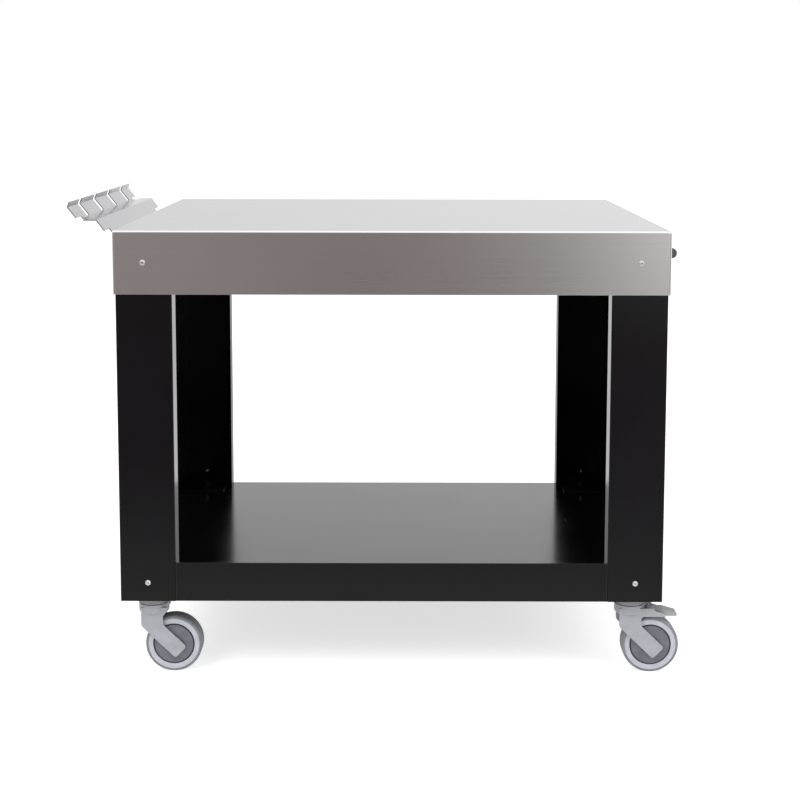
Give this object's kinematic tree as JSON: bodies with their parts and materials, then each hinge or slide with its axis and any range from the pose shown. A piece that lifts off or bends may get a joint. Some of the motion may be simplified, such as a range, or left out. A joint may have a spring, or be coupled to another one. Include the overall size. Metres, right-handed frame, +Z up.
{
  "type": "outdoor pizza oven table",
  "caption": "Rolling outdoor oven table: stainless worktop with a deep apron, closed black side panels, tray shelf, swivel castors, tool rack and bottle opener.",
  "frame": {"origin": "on the floor under the middle of the whole outline, rack and opener included", "axes": "+X to the table's right hand side seen from the front, +Y to its back, +Z up"},
  "size_m": [1.1464, 0.8166, 0.871],
  "materials": {
    "brushed_stainless": "brushed with a fine grain along the table's width",
    "rack_stainless": "fine satin stainless",
    "screw_stainless": "bright stainless",
    "black_powder_coat": "satin black powder coat, finely textured",
    "galvanised_steel": "dull galvanised",
    "blackened_steel": "dull black oxide",
    "opener_iron": "dark cast metal",
    "grey_rubber": "matt grey rubber",
    "pale_grey_plastic": "pale grey moulded nylon",
    "mid_grey_plastic": "mid grey moulded plastic",
    "fork_silver_grey": "silver grey paint on pressed steel",
    "pedal_grey_plastic": "light grey moulded plastic",
    "collar_grey_plastic": "mid grey moulded plastic",
    "bearing_plastic": "acetal",
    "zinc_steel": "bright zinc plate"
  },
  "bodies": {
    "table": {"apron_nuts": "zinc_steel", "apron_screws": "screw_stainless", "bottle_opener": "opener_iron", "castor_bolts": "blackened_steel", "castor_nuts": "blackened_steel", "castor_seats": "blackened_steel", "frame_nuts": "blackened_steel", "frame_screws": "screw_stainless", "front_left_castor_collar": "collar_grey_plastic", "front_right_castor_collar": "collar_grey_plastic", "opener_nuts": "zinc_steel", "opener_screws": "screw_stainless", "rack_nuts": "zinc_steel", "rack_screws": "screw_stainless", "rear_left_castor_collar": "collar_grey_plastic", "rear_right_castor_collar": "collar_grey_plastic", "shelf_tray": "black_powder_coat", "side_panel_left": "black_powder_coat", "side_panel_right": "black_powder_coat", "tool_rack": "rack_stainless", "worktop": "brushed_stainless", "worktop_braces": "galvanised_steel"},
    "front_left_swivel": {"front_left_axle": "zinc_steel", "front_left_castor_fork": "fork_silver_grey", "front_left_swivel_balls": "zinc_steel"},
    "front_left_wheel": {"front_left_axle_bush": "bearing_plastic", "front_left_hub_cover_front": "mid_grey_plastic", "front_left_hub_cover_rear": "mid_grey_plastic", "front_left_tyre": "grey_rubber", "front_left_wheel_core": "pale_grey_plastic"},
    "front_right_swivel": {"front_right_axle": "zinc_steel", "front_right_brake_pin": "zinc_steel", "front_right_castor_fork": "fork_silver_grey", "front_right_swivel_balls": "zinc_steel"},
    "front_right_wheel": {"front_right_axle_bush": "bearing_plastic", "front_right_hub_cover_front": "mid_grey_plastic", "front_right_hub_cover_rear": "mid_grey_plastic", "front_right_tyre": "grey_rubber", "front_right_wheel_core": "pale_grey_plastic"},
    "front_right_pedal": {"front_right_brake_pedal": "pedal_grey_plastic", "front_right_brake_shoe": "zinc_steel"},
    "rear_left_swivel": {"rear_left_axle": "zinc_steel", "rear_left_brake_pin": "zinc_steel", "rear_left_castor_fork": "fork_silver_grey", "rear_left_swivel_balls": "zinc_steel"},
    "rear_left_wheel": {"rear_left_axle_bush": "bearing_plastic", "rear_left_hub_cover_front": "mid_grey_plastic", "rear_left_hub_cover_rear": "mid_grey_plastic", "rear_left_tyre": "grey_rubber", "rear_left_wheel_core": "pale_grey_plastic"},
    "rear_left_pedal": {"rear_left_brake_pedal": "pedal_grey_plastic", "rear_left_brake_shoe": "zinc_steel"},
    "rear_right_swivel": {"rear_right_axle": "zinc_steel", "rear_right_castor_fork": "fork_silver_grey", "rear_right_swivel_balls": "zinc_steel"},
    "rear_right_wheel": {"rear_right_axle_bush": "bearing_plastic", "rear_right_hub_cover_front": "mid_grey_plastic", "rear_right_hub_cover_rear": "mid_grey_plastic", "rear_right_tyre": "grey_rubber", "rear_right_wheel_core": "pale_grey_plastic"}
  },
  "joints": [
    {"name": "front_left_swivel_turn", "type": "hinge", "parent": "table", "child": "front_left_swivel", "pos_m": [-0.41125, -0.353, 0.13], "axis": [0, 0, 1], "continuous": true},
    {"name": "front_left_wheel_spin", "type": "hinge", "parent": "front_left_swivel", "child": "front_left_wheel", "pos_m": [-0.37325, -0.353, 0.0525], "axis": [0, 1, 0], "continuous": true},
    {"name": "front_right_swivel_turn", "type": "hinge", "parent": "table", "child": "front_right_swivel", "pos_m": [0.47475, -0.353, 0.13], "axis": [0, 0, 1], "continuous": true},
    {"name": "front_right_wheel_spin", "type": "hinge", "parent": "front_right_swivel", "child": "front_right_wheel", "pos_m": [0.51275, -0.353, 0.0525], "axis": [0, 1, 0], "continuous": true},
    {"name": "front_right_brake_press", "type": "hinge", "parent": "front_right_swivel", "child": "front_right_pedal", "pos_m": [0.51325, -0.353, 0.1155], "axis": [0, 1, 0], "range_deg": [0, 12]},
    {"name": "rear_left_swivel_turn", "type": "hinge", "parent": "table", "child": "rear_left_swivel", "pos_m": [-0.41125, 0.353, 0.13], "axis": [0, 0, 1], "continuous": true},
    {"name": "rear_left_wheel_spin", "type": "hinge", "parent": "rear_left_swivel", "child": "rear_left_wheel", "pos_m": [-0.37325, 0.353, 0.0525], "axis": [0, 1, 0], "continuous": true},
    {"name": "rear_left_brake_press", "type": "hinge", "parent": "rear_left_swivel", "child": "rear_left_pedal", "pos_m": [-0.37275, 0.353, 0.1155], "axis": [0, 1, 0], "range_deg": [0, 12]},
    {"name": "rear_right_swivel_turn", "type": "hinge", "parent": "table", "child": "rear_right_swivel", "pos_m": [0.47475, 0.353, 0.13], "axis": [0, 0, 1], "continuous": true},
    {"name": "rear_right_wheel_spin", "type": "hinge", "parent": "rear_right_swivel", "child": "rear_right_wheel", "pos_m": [0.51275, 0.353, 0.0525], "axis": [0, 1, 0], "continuous": true}
  ]
}
